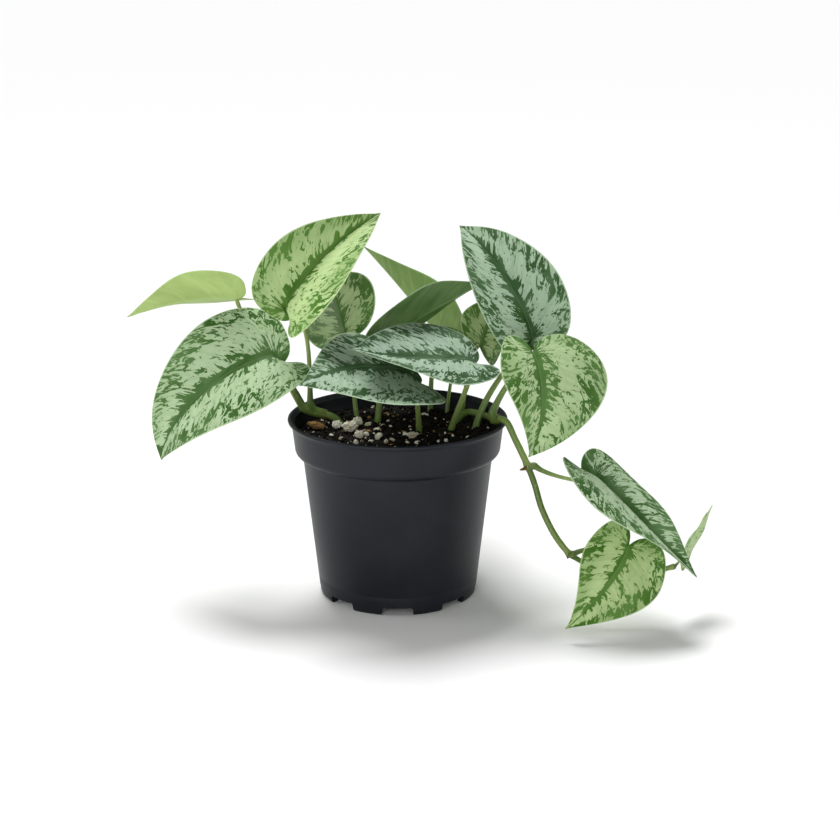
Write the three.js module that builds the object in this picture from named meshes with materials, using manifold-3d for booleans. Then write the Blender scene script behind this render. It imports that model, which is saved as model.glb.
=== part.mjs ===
// Potted scindapsus: a trailing plant in a round nursery pot.
// Millimetres, +Z up. The origin is the centre of the pot's base, on the floor; -Y is the front.
import * as THREE from "three";
import { mergeVertices } from "three/addons/utils/BufferGeometryUtils.js";
import Module from "manifold-3d";

const wasm = await Module();
wasm.setup();

// ---------------------------------------------------------------- driving dimensions
const POT_HEIGHT = 100;
const RIM_RADIUS = 60; // outside of the rolled lip: a 12 cm pot
const COLLAR_RADIUS = 57.8; // outside of the collar, just under the lip
const COLLAR_LOW_RADIUS = 56.3;
const COLLAR_LOW_Z = 83;
const BODY_TOP_RADIUS = 52;
const BODY_TOP_Z = 79;
const BASE_RADIUS = 43.5;
const WALL = 1.5;
const FLOOR_UNDER_Z = 4.5; // underside of the pot's floor, above the foot ring's gaps
const FLOOR_TOP_Z = 6;
const FOOT_WIDTH = 5;
const PAD_RADIUS = 9; // centre pad that shares the pot's weight
const NOTCHES = 8;
const NOTCH_WIDTH = 17;
const DRAIN_RADIUS = 3.5;
const DRAIN_CIRCLE = 31;
const SOIL_Z = 90.5;
const SOIL_DOME = 1.6;
const GAP = 0.3; // clearance between pieces that touch
const SOIL_GAP = 0.4; // clearance between the soil and the pot's wall
const BURIED = 12; // how deep a stem goes into the soil
const SLACK = 1; // how much wider a stem's socket is, all round
const LEAF_THICKNESS = 0.9;
const RUNNER_RADIUS = 1.9;

// ---------------------------------------------------------------- materials
const looks = {
  plastic: [0x24272b, 0.5, 0],
  soil: [0x17110d, 0.95, 0],
  bark: [0x8a6238, 0.85, 0],
  perlite: [0xd9d3c3, 0.9, 0],
  leaf: [0x8fae86, 0.42, 0],
  stem: [0x6f8548, 0.5, 0],
  nub: [0x6b4f2c, 0.8, 0],
};

function finish(look) {
  const [color, roughness, metalness] = looks[look];
  return new THREE.MeshStandardMaterial({ color, roughness, metalness });
}

const plant = new THREE.Group();

function addMesh(name, geometry, look) {
  const mesh = new THREE.Mesh(geometry, finish(look));
  mesh.name = name;
  plant.add(mesh);
  return mesh;
}

// ---------------------------------------------------------------- booleans
function welded(geometry) {
  const bare = geometry.clone();
  bare.deleteAttribute("normal");
  bare.deleteAttribute("uv");
  return mergeVertices(bare, 1e-4);
}

function solidOf(geometry) {
  const bare = welded(geometry);
  const mesh = new wasm.Mesh({
    numProp: 3,
    vertProperties: new Float32Array(bare.attributes.position.array),
    triVerts: new Uint32Array(bare.index.array),
  });
  return new wasm.Manifold(mesh);
}

function geometryOf(solid) {
  const mesh = solid.getMesh();
  const geometry = new THREE.BufferGeometry();
  geometry.setAttribute("position", new THREE.BufferAttribute(mesh.vertProperties, 3));
  geometry.setIndex(new THREE.BufferAttribute(mesh.triVerts, 1));
  geometry.computeVertexNormals();
  return geometry;
}

// ---------------------------------------------------------------- curves and tubes
const v3 = (x, y, z) => new THREE.Vector3(x, y, z);

function circleShape(radius, sides) {
  const points = [];
  for (let i = 0; i < sides; i += 1) {
    const a = (i / sides) * Math.PI * 2;
    points.push(new THREE.Vector2(radius * Math.cos(a), radius * Math.sin(a)));
  }
  return new THREE.Shape(points);
}

function tube(curve, radius, steps, sides = 7) {
  return new THREE.ExtrudeGeometry(circleShape(radius, sides), { extrudePath: curve, steps });
}

// ---------------------------------------------------------------- leaves
// A leaf lies in its own frame: the midrib runs from the sinus at the origin along +Y to the tip,
// and +Z is the upper face. It is then turned: roll about Y, pitch about X, heading about Z.
function halfMargin(width, length, lobe) {
  const back = new THREE.Vector2(0.46 * width, -lobe * length);
  const wide = new THREE.Vector2(width, 0.2 * length);
  const path = new THREE.CurvePath();
  path.add(new THREE.CubicBezierCurve(
    new THREE.Vector2(0, 0),
    new THREE.Vector2(0.05 * width, -0.07 * length),
    new THREE.Vector2(back.x - 0.3 * width, back.y),
    back,
  ));
  path.add(new THREE.CubicBezierCurve(
    back,
    new THREE.Vector2(back.x + 0.3 * width, back.y),
    new THREE.Vector2(width, wide.y - 0.19 * length),
    wide,
  ));
  path.add(new THREE.CubicBezierCurve(
    wide,
    new THREE.Vector2(width, wide.y + 0.3 * length),
    new THREE.Vector2(0.12 * width, 0.86 * length),
    new THREE.Vector2(0, length),
  ));
  return path;
}

// Where a side vein leaves the midrib, for the margin point that it runs to.
function ribPoint(row, marginY, length) {
  const forward = Math.max(0, marginY / length);
  return length * (0.05 * row + 0.95 * Math.pow(forward, 1.5));
}

function turned(leaf) {
  const rad = THREE.MathUtils.degToRad;
  const turn = new THREE.Matrix4().makeRotationZ(rad(leaf.heading));
  turn.multiply(new THREE.Matrix4().makeRotationX(rad(leaf.pitch)));
  turn.multiply(new THREE.Matrix4().makeRotationY(rad(leaf.roll)));
  return turn;
}

// The bent middle surface: t runs -1..1 across the leaf, row 0..1 from the sinus to the tip.
function leafPoint(leaf, margins, row, t) {
  const side = t < 0 ? -1 : 1;
  const margin = margins[side < 0 ? 0 : 1].getPoint(row);
  const width = leaf.width * (1 + side * leaf.skew);
  const rib = ribPoint(row, margin.y, leaf.length);
  const k = Math.abs(t);
  const x = margin.x * k;
  const y = rib + (margin.y - rib) * k * (0.45 + 0.55 * k);
  const fold = THREE.MathUtils.degToRad(leaf.fold);
  const lift = x * Math.sin(fold) - leaf.curl * (x / width) ** 2;
  const sweep = leaf.sweep * Math.max(0, y / leaf.length) ** 2;
  const across = side * x * Math.cos(fold) + sweep;
  const droop = THREE.MathUtils.degToRad(leaf.droop);
  if (Math.abs(droop) < 0.01) return v3(across, y, lift);
  const radius = leaf.length / droop;
  const angle = y / radius;
  return v3(across, (radius + lift) * Math.sin(angle), (radius + lift) * Math.cos(angle) - radius);
}

function leafGeometry(leaf) {
  const across = 8;
  const rows = 13;
  const geometry = new THREE.SphereGeometry(1, across, rows);
  const position = geometry.attributes.position;
  const margins = [-1, 1].map((side) => (
    halfMargin(leaf.width * (1 + side * leaf.skew), leaf.length, leaf.lobe)
  ));
  for (let i = 0; i < position.count; i += 1) {
    const ring = i % (across + 1);
    const row = Math.floor(i / (across + 1)) / rows;
    const angle = (ring % across) / across * Math.PI * 2;
    const t = row > 0 && row < 1 ? Math.cos(angle) : 0;
    const middle = leafPoint(leaf, margins, row, t);
    const ahead = leafPoint(leaf, margins, Math.min(row + 0.02, 0.999), t);
    const behind = leafPoint(leaf, margins, Math.max(row - 0.02, 0.001), t);
    const right = leafPoint(leaf, margins, THREE.MathUtils.clamp(row, 0.02, 0.98), t + 0.05);
    const left = leafPoint(leaf, margins, THREE.MathUtils.clamp(row, 0.02, 0.98), t - 0.05);
    const normal = right.sub(left).cross(ahead.sub(behind)).normalize();
    const edge = row > 0 && row < 1 ? Math.sin(angle) : 0;
    middle.addScaledVector(normal, edge * LEAF_THICKNESS / 2);
    position.setXYZ(i, middle.x, middle.y, middle.z);
  }
  geometry.deleteAttribute("uv");
  geometry.computeVertexNormals();
  geometry.applyMatrix4(turned(leaf));
  geometry.translate(...leaf.at);
  return geometry;
}

// A petiole rises from its root and comes in under the leaf's base, from behind and below.
function petioleCurve(leaf) {
  const turn = turned(leaf);
  const into = v3(0, leaf.enter[0], leaf.enter[1]).applyMatrix4(turn);
  const seat = v3(0, 2.2, 0);
  const droop = THREE.MathUtils.degToRad(leaf.droop);
  seat.z = -(2.2 ** 2) * droop / leaf.length / 2;
  seat.applyMatrix4(turn).add(v3(...leaf.at));
  const below = LEAF_THICKNESS / 2 + GAP + leaf.stalk * 0.75;
  seat.addScaledVector(v3(0, 0, 1).applyMatrix4(turn), -below);
  const root = v3(...leaf.root);
  return new THREE.CubicBezierCurve3(
    root,
    root.clone().add(v3(...leaf.rise)),
    seat.clone().sub(into),
    seat,
  );
}

// at: the leaf's base; heading, pitch, roll, fold and droop in degrees; curl and sweep in mm;
// root and rise: the petiole's lower end and how it sets off; enter: how it comes in under the leaf;
// stalk: the petiole's radius.
const leaves = {
  leaf_left_front: {
    at: [-62, -8, 131], heading: 117, pitch: -13, roll: -27, length: 99, width: 37.5, fold: 28,
    curl: 10, droop: 85, sweep: 20, skew: 0.25, lobe: 0.1,
    root: [-52.4, 11.6, 100.8], rise: [-6, -4, 10], enter: [3, 9], stalk: 1.5,
  },
  leaf_far_left: {
    at: [-87, 22, 161], heading: 77, pitch: 1, roll: 35, length: 64, width: 26, fold: 23,
    curl: 2, droop: 30, sweep: -2, skew: 0.1, lobe: 0.08,
    root: [-52.6, 16.8, 101.2], rise: [-9, 3, 20], enter: [4, 12], stalk: 1.3,
  },
  leaf_upper_left: {
    at: [-56, -2, 155], heading: -84, pitch: 52, roll: 42, length: 79, width: 33, fold: 37,
    curl: 3, droop: 46, sweep: -20, skew: -0.05, lobe: 0.08,
    root: [-48.5, 14.6, 103], rise: [0, 2, 20], enter: [-2, 12], stalk: 1.5,
  },
  leaf_left_rear: {
    at: [-30, 28, 140], heading: 14, pitch: 32, roll: -33, length: 61, width: 25, fold: 22,
    curl: 1, droop: 17, sweep: -5, skew: 0.12, lobe: 0.16,
    root: [-21, 22, SOIL_Z - BURIED], rise: [-6, 13, 26], enter: [3, 12], stalk: 1.4,
  },
  leaf_front_low: {
    at: [12, -22, 124], heading: 129, pitch: 10, roll: -21, length: 81, width: 36, fold: 0,
    curl: -3, droop: 0, sweep: -3, skew: 0.28, lobe: 0.08,
    root: [12, 2, SOIL_Z - BURIED], rise: [0, -2, 22], enter: [3, 9], stalk: 1.7,
  },
  leaf_front_middle: {
    at: [41, -8, 131], heading: 119, pitch: 3, roll: -13, length: 82, width: 34, fold: 15,
    curl: 6, droop: -25, sweep: -5, skew: 0.28, lobe: 0.11,
    root: [26, 4, SOIL_Z - BURIED], rise: [5, -2, 24], enter: [3, 9], stalk: 1.8,
  },
  leaf_upper_right: {
    at: [70, 8, 138], heading: 40, pitch: 54, roll: -30, length: 96, width: 29, fold: 38,
    curl: 0, droop: 42, sweep: 0, skew: 0.2, lobe: 0.08,
    root: [41.5, 7.5, SOIL_Z - BURIED], rise: [0, 0, 32], enter: [3, 12], stalk: 1.8,
  },
  leaf_right: {
    at: [72, -24, 142], heading: -155, pitch: -41, roll: -14, length: 62, width: 35, fold: 19,
    curl: 11, droop: 85, sweep: -4, skew: -0.3, lobe: 0.15,
    root: [49.5, -14, 98.5], rise: [1, -1, 12], enter: [3, 12], stalk: 1.8,
  },
  leaf_rear_tall: {
    at: [27, 88, 120], heading: 60, pitch: 48, roll: 45, length: 75, width: 32, fold: 14,
    curl: -4, droop: 9, sweep: -2, skew: 0, lobe: 0.16,
    root: [18, 41, SOIL_Z - BURIED], rise: [0, 1, 36], enter: [3, 10], stalk: 1.5,
  },
  leaf_rear_plain: {
    at: [-10.5, 24.5, 134.4], heading: -52, pitch: 24, roll: -46, length: 77, width: 33, fold: 14,
    curl: 4, droop: 11, sweep: 1, skew: 0, lobe: 0.15,
    root: [-12, 15, SOIL_Z - BURIED], rise: [0, 0, 24], enter: [4, 10], stalk: 1.8,
  },
  leaf_rear_small: {
    at: [33, 54, 121.5], heading: 62, pitch: 28, roll: -25, length: 36, width: 14, fold: 18,
    curl: 3, droop: 20, sweep: 0, skew: 0.05, lobe: 0.15,
    root: [27, 38, SOIL_Z - BURIED], rise: [0, 0, 24], enter: [3, 9], stalk: 1.2,
  },
  leaf_rear_right: {
    at: [46, 30, 132], heading: -12, pitch: 34, roll: 57, length: 44, width: 18, fold: 15,
    curl: 7, droop: -19, sweep: 6, skew: 0, lobe: 0.15,
    root: [35, 32, SOIL_Z - BURIED], rise: [2, -3, 24], enter: [3, 9], stalk: 1.2,
  },
  leaf_vine_upper: {
    at: [100, -34, 74], heading: -128, pitch: -37, roll: -8, length: 79, width: 37, fold: 36,
    curl: 14, droop: -13, sweep: -3, skew: 0, lobe: 0.17,
    root: [73.4, -30.4, 80.8], rise: [6, -1, -5], enter: [7, 5], stalk: 1.3,
  },
  leaf_vine_lower: {
    at: [122, -58, 46], heading: 146, pitch: -45, roll: -58, length: 56, width: 26.5, fold: 18,
    curl: 11, droop: 30, sweep: 8, skew: -0.17, lobe: 0.16,
    root: [93.8, -48, 37.5], rise: [8, 1, 4], enter: [3, 6], stalk: 1.2,
  },
  leaf_vine_tip: {
    at: [152, -46, 33], heading: -34, pitch: 33, roll: 105, length: 42, width: 10.5, fold: 8,
    curl: 1, droop: 0, sweep: 3, skew: 0, lobe: 0.06,
    root: [147.4, -49, 31], rise: [1, 0.3, 0.4], enter: [1.6, 0.9], stalk: 0.8,
  },
};

const petioleCurves = [];
for (const [name, leaf] of Object.entries(leaves)) {
  addMesh(name, leafGeometry(leaf), "leaf");
  const curve = petioleCurve(leaf);
  const steps = THREE.MathUtils.clamp(Math.round(curve.getLength() / 7), 4, 11);
  addMesh(name.replace("leaf", "petiole"), tube(curve, leaf.stalk, steps), "stem");
  petioleCurves.push([curve, leaf.stalk, steps]);
}

// ---------------------------------------------------------------- stems
// The crown stem leans over to the left; the runner crosses the soil, climbs over the rim and trails.
const stemRuns = {
  stem_left: [
    [-26.5, 17, SOIL_Z - BURIED], [-30.5, 16.8, 88.5], [-35, 16.5, 94], [-42, 15.5, 97], [-49.5, 14.5, 98.6],
  ],
  vine_runner: [
    [30, 17.5, SOIL_Z - BURIED], [32.8, 18.7, 91], [38, 21, 96], [49, 12, 96.4],
    [52.3, -5, 99], [54.6, -14, 102.4], [58.6, -18, 101.6], [63.1, -22, 93.2], [67.5, -27, 85],
    [69.6, -29.6, 80.6],
  ],
  vine_middle: [
    [70.1, -30.2, 79.5], [73, -32, 72.2], [77.3, -36, 58.4], [84.7, -41, 44.4], [91.5, -44.8, 36.2],
  ],
  vine_end: [
    [92.4, -45.3, 35.4], [104, -45, 29.5], [124, -45, 27], [138, -47.5, 27.8], [146.4, -48.6, 30],
  ],
};
const STEM_RADII = { stem_left: 2.1, vine_runner: RUNNER_RADIUS, vine_middle: 1.8, vine_end: 1.5 };

const stemCurves = [];
for (const [name, stops] of Object.entries(stemRuns)) {
  const curve = new THREE.CatmullRomCurve3(stops.map((stop) => v3(...stop)));
  const steps = Math.round(curve.getLength() / 6);
  addMesh(name, tube(curve, STEM_RADII[name], steps, 8), "stem");
  stemCurves.push([curve, STEM_RADII[name], steps]);
}

// A short aerial root stands on each node of the vine.
const nubs = {
  root_nub_upper: { at: [65.4, -30.6, 79.2], lean: [0, 0, 70] },
  root_nub_lower: { at: [91.2, -41.4, 33.4], lean: [-50, 0, 20] },
};
for (const [name, nub] of Object.entries(nubs)) {
  const geometry = new THREE.CapsuleGeometry(0.9, 2, 2, 8);
  geometry.rotateZ(THREE.MathUtils.degToRad(nub.lean[2]));
  geometry.rotateX(THREE.MathUtils.degToRad(nub.lean[0]));
  geometry.translate(...nub.at);
  addMesh(name, geometry, "nub");
}

// ---------------------------------------------------------------- lumps on the soil
function lump(at, size, turn) {
  const geometry = new THREE.IcosahedronGeometry(1, 1);
  geometry.scale(...size);
  geometry.rotateZ(THREE.MathUtils.degToRad(turn));
  geometry.translate(...at);
  return geometry;
}
const lumps = {
  bark_chip: [[-45, 5.5, 93], [6.2, 3, 1.7], 35, "bark"],
  perlite_lump_1: [[-26, -1.5, 94.3], [4.6, 3.8, 3.2], 10, "perlite"],
  perlite_lump_2: [[-22.5, 9, 94], [3.6, 3.2, 2.8], 50, "perlite"],
  perlite_lump_3: [[-33.5, 5, 93.6], [3.2, 3, 2.4], 80, "perlite"],
  perlite_lump_4: [[-20.5, -14, 93.6], [3, 2.6, 2.2], 20, "perlite"],
  perlite_lump_5: [[8, -15, 93.4], [2.6, 2.4, 2], 0, "perlite"],
};
for (const [name, [at, size, turn, look]] of Object.entries(lumps)) {
  addMesh(name, lump(at, size, turn), look);
}

// ---------------------------------------------------------------- soil
const soilSide = [
  [BASE_RADIUS - WALL - SOIL_GAP, FLOOR_TOP_Z + GAP],
  [BODY_TOP_RADIUS - WALL - SOIL_GAP, BODY_TOP_Z],
  [COLLAR_LOW_RADIUS - WALL - SOIL_GAP, COLLAR_LOW_Z + 1],
  [COLLAR_LOW_RADIUS - WALL - SOIL_GAP + 0.5, SOIL_Z - 1],
];
const soilProfile = [[0, FLOOR_TOP_Z + GAP], ...soilSide];
const SOIL_RINGS = 5;
for (let i = SOIL_RINGS; i >= 0; i -= 1) {
  const k = i / (SOIL_RINGS + 1);
  soilProfile.push([soilSide[3][0] * k, SOIL_Z + SOIL_DOME * Math.cos(k * Math.PI / 2)]);
}
const soilGeometry = new THREE.LatheGeometry(soilProfile.map((p) => new THREE.Vector2(...p)), 36);
soilGeometry.rotateX(Math.PI / 2);
// The straight socket that a buried stem stands in, open at the top.
function socket(curve, radius) {
  const low = curve.getPoint(0);
  const high = curve.getPoints(60).find((p) => p.z > SOIL_Z + 1);
  const along = high.clone().sub(low).normalize();
  low.addScaledVector(along, -1);
  high.addScaledVector(along, 2);
  const geometry = new THREE.CylinderGeometry(radius + SLACK, radius + SLACK, high.distanceTo(low), 10);
  geometry.applyQuaternion(new THREE.Quaternion().setFromUnitVectors(v3(0, 1, 0), along));
  geometry.translate(...high.add(low).multiplyScalar(0.5).toArray());
  return geometry;
}

let soil = solidOf(soilGeometry);
for (const [curve, radius] of [...petioleCurves, ...stemCurves]) {
  const foot = curve.getPoint(0);
  const buried = foot.z < SOIL_Z && Math.hypot(foot.x, foot.y) < BODY_TOP_RADIUS;
  if (buried) soil = soil.subtract(solidOf(socket(curve, radius)));
}
for (const [at, size, turn] of Object.values(lumps)) {
  soil = soil.subtract(solidOf(lump(at, size.map((s) => s + GAP + 0.1), turn)));
}
addMesh("soil", geometryOf(soil), "soil");

// ---------------------------------------------------------------- pot
const potProfile = [
  [0, 0],
  [PAD_RADIUS, 0],
  [PAD_RADIUS + 1, FLOOR_UNDER_Z],
  [BASE_RADIUS - FOOT_WIDTH, FLOOR_UNDER_Z],
  [BASE_RADIUS - FOOT_WIDTH + 0.6, 0.5],
  [BASE_RADIUS - FOOT_WIDTH + 1.2, 0],
  [BASE_RADIUS - 2, 0],
  [BASE_RADIUS - 0.7, 0.6],
  [BASE_RADIUS, 2.4],
  [BODY_TOP_RADIUS, BODY_TOP_Z],
  [COLLAR_LOW_RADIUS - 1.2, BODY_TOP_Z + 1.6],
  [COLLAR_LOW_RADIUS - 0.2, COLLAR_LOW_Z - 1],
  [COLLAR_LOW_RADIUS, COLLAR_LOW_Z],
  [COLLAR_RADIUS, 96.4],
  [RIM_RADIUS - 0.8, 96.7],
  [RIM_RADIUS, 98.2],
  [RIM_RADIUS - 0.5, 99.6],
  [RIM_RADIUS - 2, POT_HEIGHT],
  [COLLAR_RADIUS - WALL, 99.4],
  [COLLAR_RADIUS - WALL - 0.1, 96],
  [COLLAR_LOW_RADIUS - WALL, COLLAR_LOW_Z + 1],
  [BODY_TOP_RADIUS - WALL, BODY_TOP_Z],
  [BASE_RADIUS - WALL, FLOOR_TOP_Z],
  [0, FLOOR_TOP_Z],
];
const potGeometry = new THREE.LatheGeometry(potProfile.map((p) => new THREE.Vector2(...p)), 48);
potGeometry.rotateX(Math.PI / 2);
let pot = solidOf(potGeometry);
for (let i = 0; i < NOTCHES; i += 1) {
  const turn = (i / NOTCHES) * Math.PI * 2;
  const notch = new THREE.BoxGeometry(NOTCH_WIDTH, 12, 2 * FLOOR_UNDER_Z);
  notch.translate(0, -BASE_RADIUS, 0);
  notch.rotateZ(turn);
  const drain = new THREE.CylinderGeometry(DRAIN_RADIUS, DRAIN_RADIUS, 12, 12);
  drain.rotateX(Math.PI / 2);
  drain.translate(0, -DRAIN_CIRCLE, FLOOR_TOP_Z);
  drain.rotateZ(turn);
  pot = pot.subtract(solidOf(notch)).subtract(solidOf(drain));
}
addMesh("pot", geometryOf(pot), "plastic");

export default plant;
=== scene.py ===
"""Potted scindapsus: a trailing houseplant with silver-marked leaves in a round nursery pot."""

import math
import random

import bmesh
import bpy
from bpy.props import FloatProperty, FloatVectorProperty, IntProperty, PointerProperty
from mathutils import Matrix, Vector, noise


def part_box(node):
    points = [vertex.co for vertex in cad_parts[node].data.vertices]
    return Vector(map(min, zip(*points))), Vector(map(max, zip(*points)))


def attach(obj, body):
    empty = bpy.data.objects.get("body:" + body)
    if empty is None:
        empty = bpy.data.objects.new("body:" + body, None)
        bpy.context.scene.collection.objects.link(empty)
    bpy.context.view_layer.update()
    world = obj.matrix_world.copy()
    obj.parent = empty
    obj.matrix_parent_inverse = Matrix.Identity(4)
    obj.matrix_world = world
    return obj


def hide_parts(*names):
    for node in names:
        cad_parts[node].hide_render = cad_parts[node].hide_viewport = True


bl_info = {
    "name": "Potted Scindapsus",
    "version": (1, 0, 0),
    "blender": (4, 5, 0),
    "location": "View3D > Sidebar > Plant",
    "description": "Builds a trailing houseplant in a nursery pot, piece by piece",
    "category": "Add Mesh",
}

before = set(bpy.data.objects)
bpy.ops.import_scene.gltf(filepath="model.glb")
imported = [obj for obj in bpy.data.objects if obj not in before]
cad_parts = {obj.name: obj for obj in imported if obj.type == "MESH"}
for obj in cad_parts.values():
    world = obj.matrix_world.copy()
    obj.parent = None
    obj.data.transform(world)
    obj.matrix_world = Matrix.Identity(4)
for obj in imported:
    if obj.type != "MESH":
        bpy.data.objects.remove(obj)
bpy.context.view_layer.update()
MM = 0.001


def box_mm(node):
    """A frame node's lowest and highest corners, in millimetres."""
    low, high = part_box(node)
    return Vector(low) / MM, Vector(high) / MM


POT_HIGH = box_mm("pot")[1]
SOIL_HIGH = box_mm("soil")[1]


def tone(red, green, blue):
    """A display colour, 0 to 255 a channel, as the linear colour that shaders use."""
    return tuple(
        c / 12.92 if c <= 0.04045 else ((c + 0.055) / 1.055) ** 2.4
        for c in (red / 255, green / 255, blue / 255)
    )


# ------------------------------------------------------------------ settings


def size(name, default, description):
    return FloatProperty(
        name=name, default=default, description=description, min=0.0, max=1.0,
        unit="LENGTH", subtype="DISTANCE", precision=5,
    )


def ratio(name, default, description):
    return FloatProperty(
        name=name, default=default, description=description, min=0.0, max=1.0, subtype="FACTOR",
    )


def colour(name, default, description):
    return FloatVectorProperty(
        name=name, default=default, description=description, size=3, min=0.0, max=1.0,
        subtype="COLOR",
    )


class PotSettings(bpy.types.PropertyGroup):
    rim_radius: size("Rim radius", POT_HIGH.x * MM, "Outside of the rolled lip")
    height: size("Height", POT_HIGH.z * MM, "From the foot ring to the top of the lip")
    collar_radius: size("Collar radius", 0.0578, "Outside of the collar under the lip")
    collar_low_radius: size("Collar foot radius", 0.0563, "Outside of the collar's lower edge")
    collar_low: size("Collar foot height", 0.083, "Height of the collar's lower edge")
    body_radius: size("Body radius", 0.052, "Outside of the wall just under the collar")
    body_top: size("Body height", 0.079, "Height of the wall's top under the collar")
    base_radius: size("Base radius", 0.0435, "Outside of the wall at the foot ring")
    wall: size("Wall", 0.0015, "Thickness of the plastic")
    floor_under: size("Floor height", 0.0045, "Underside of the pot's floor")
    notch_width: size("Notch width", 0.017, "Width of each gap in the foot ring")
    notches: IntProperty(
        name="Notches", default=8, min=0, max=24, description="Number of gaps in the foot ring",
    )
    plastic: colour("Plastic", tone(17, 21, 28), "Charcoal moulded plastic")


class SoilSettings(bpy.types.PropertyGroup):
    level: size("Level", (SOIL_HIGH.z - 1.6) * MM, "Height of the soil at the pot's wall")
    dome: size("Dome", 0.0016, "Rise of the soil towards the middle")
    relief: size("Relief", 0.0016, "Height of the lumps in the surface")
    crumbs: IntProperty(
        name="Crumbs", default=1500, min=0, max=5000, description="Loose peat crumbs",
    )
    grains: IntProperty(
        name="Grains", default=210, min=0, max=2000, description="Small white mineral grains",
    )
    peat: colour("Peat", tone(11, 9, 7), "Damp dark peat")
    mineral: colour("Mineral", tone(232, 228, 214), "Expanded white mineral")
    bark: colour("Bark", tone(176, 134, 84), "Dry bark")


class LeafSettings(bpy.types.PropertyGroup):
    thickness: size("Thickness", 0.0006, "Thickness of a blade")
    rows: IntProperty(
        name="Rows", default=56, min=12, max=160, description="Mesh rows from sinus to tip",
    )
    columns: IntProperty(
        name="Columns", default=30, min=8, max=96, description="Mesh columns across a blade",
    )
    wave: size("Wave", 0.0007, "Height of the waves in the margin")
    mature_silver: colour("Mature silver", tone(168, 190, 168), "Silver of a mature leaf")
    mature_green: colour("Mature green", tone(50, 86, 44), "Dark markings of a mature leaf")
    young_silver: colour("Young silver", tone(184, 208, 140), "Silver of a young leaf")
    young_green: colour("Young green", tone(74, 124, 28), "Dark markings of a young leaf")
    mature_back: colour("Mature underside", tone(72, 116, 32), "Underside of a mature leaf")
    young_back: colour("Young underside", tone(172, 196, 116), "Underside of a young leaf")


class StemSettings(bpy.types.PropertyGroup):
    sides: IntProperty(name="Sides", default=20, min=6, max=64, description="Sides of a stem")
    swelling: ratio("Sheath swelling", 0.42, "How much wider a petiole's sheath is than its middle")
    green: colour("Green", tone(90, 118, 48), "Green of the stems")
    pale: colour("Pale green", tone(158, 178, 104), "Paler green towards the blades")
    husk: colour("Husk", tone(120, 92, 52), "Dry brown scar tissue")


# ------------------------------------------------------------------ shader helpers


class Field:
    """A shader value. Arithmetic on it adds Math nodes."""

    def __init__(self, look, socket):
        self.look = look
        self.socket = socket

    def math(self, operation, *values):
        return self.look.add("ShaderNodeMath", {"operation": operation}, dict(enumerate(values)))

    def __add__(self, other):
        return self.math("ADD", self, other)

    __radd__ = __add__

    def __mul__(self, other):
        return self.math("MULTIPLY", self, other)

    __rmul__ = __mul__

    def __sub__(self, other):
        return self.math("SUBTRACT", self, other)

    def __rsub__(self, other):
        return self.math("SUBTRACT", other, self)

    def __truediv__(self, other):
        return self.math("DIVIDE", self, other)

    def __pow__(self, other):
        return self.math("POWER", self, other)

    def __abs__(self):
        return self.math("ABSOLUTE", self)


class Look:
    """A material and the nodes that it is made of."""

    def __init__(self, name, **fixed):
        self.material = bpy.data.materials.new(name)
        self.material.use_nodes = True
        self.tree = self.material.node_tree
        self.shader = self.tree.nodes["Principled BSDF"]
        for socket, value in fixed.items():
            self.shader.inputs[socket.replace("_", " ")].default_value = value

    def add(self, kind, settings=None, sockets=None, output=0):
        """Adds a node, sets it up, fills its sockets and returns one of its outputs."""
        node = self.tree.nodes.new(kind)
        for key, value in (settings or {}).items():
            setattr(node, key, value)
        for key, value in (sockets or {}).items():
            if isinstance(value, Field):
                self.tree.links.new(value.socket, node.inputs[key])
            else:
                node.inputs[key].default_value = value
        return Field(self, node.outputs[output])

    def place(self):
        return self.add("ShaderNodeTexCoord", output="Object")

    def attribute(self, name):
        return self.add("ShaderNodeAttribute", {"attribute_name": name}, output="Fac")

    def vector(self, x, y, z):
        return self.add("ShaderNodeCombineXYZ", None, {0: x, 1: y, 2: z})

    def cloud(self, where, scale=1.0, detail=2.0, roughness=0.5, distortion=0.0):
        return self.add(
            "ShaderNodeTexNoise", None,
            {"Vector": where, "Scale": scale, "Detail": detail, "Roughness": roughness,
             "Distortion": distortion},
        )

    def step(self, value, low, high):
        """0 below low, 1 above high, smooth between; the other way round if low > high."""
        ends = (low, high, 0.0, 1.0) if low < high else (high, low, 1.0, 0.0)
        return self.add(
            "ShaderNodeMapRange", {"interpolation_type": "SMOOTHSTEP"},
            {"Value": value, 1: ends[0], 2: ends[1], 3: ends[2], 4: ends[3]},
        )

    def blend(self, factor, first, second):
        def paint(c):
            return c if isinstance(c, Field) else (*c, 1.0)

        return self.add(
            "ShaderNodeMix", {"data_type": "RGBA"},
            {0: factor, 6: paint(first), 7: paint(second)}, output=2,
        )

    def bump(self, height, strength, distance):
        return self.add(
            "ShaderNodeBump", None,
            {"Height": height, "Strength": strength, "Distance": distance},
        )

    def wear(self, **links):
        for socket, field in links.items():
            self.tree.links.new(field.socket, self.shader.inputs[socket.replace("_", " ")])
        return self.material


def mixed(first, second, share):
    """A colour that share of the way from the first to the second."""
    return tuple(a + (b - a) * share for a, b in zip(first, second))


def darker(paint, share):
    return tuple(c * share for c in paint)


def plastic_look(settings):
    look = Look("pot_plastic", Specular_IOR_Level=0.22)
    where = look.place()
    grain = look.cloud(where, 1600.0, 3.0, 0.6)
    haze = look.cloud(where, 22.0, 3.0, 0.55)
    base = tuple(settings.plastic)
    paint = look.blend(look.step(haze, 0.35, 0.7), base, mixed(base, tone(50, 54, 62), 0.2))
    return look.wear(
        Base_Color=paint,
        Roughness=haze * 0.16 + grain * 0.06 + 0.33,
        Normal=look.bump(grain, 0.12, 0.0002),
    )


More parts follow.
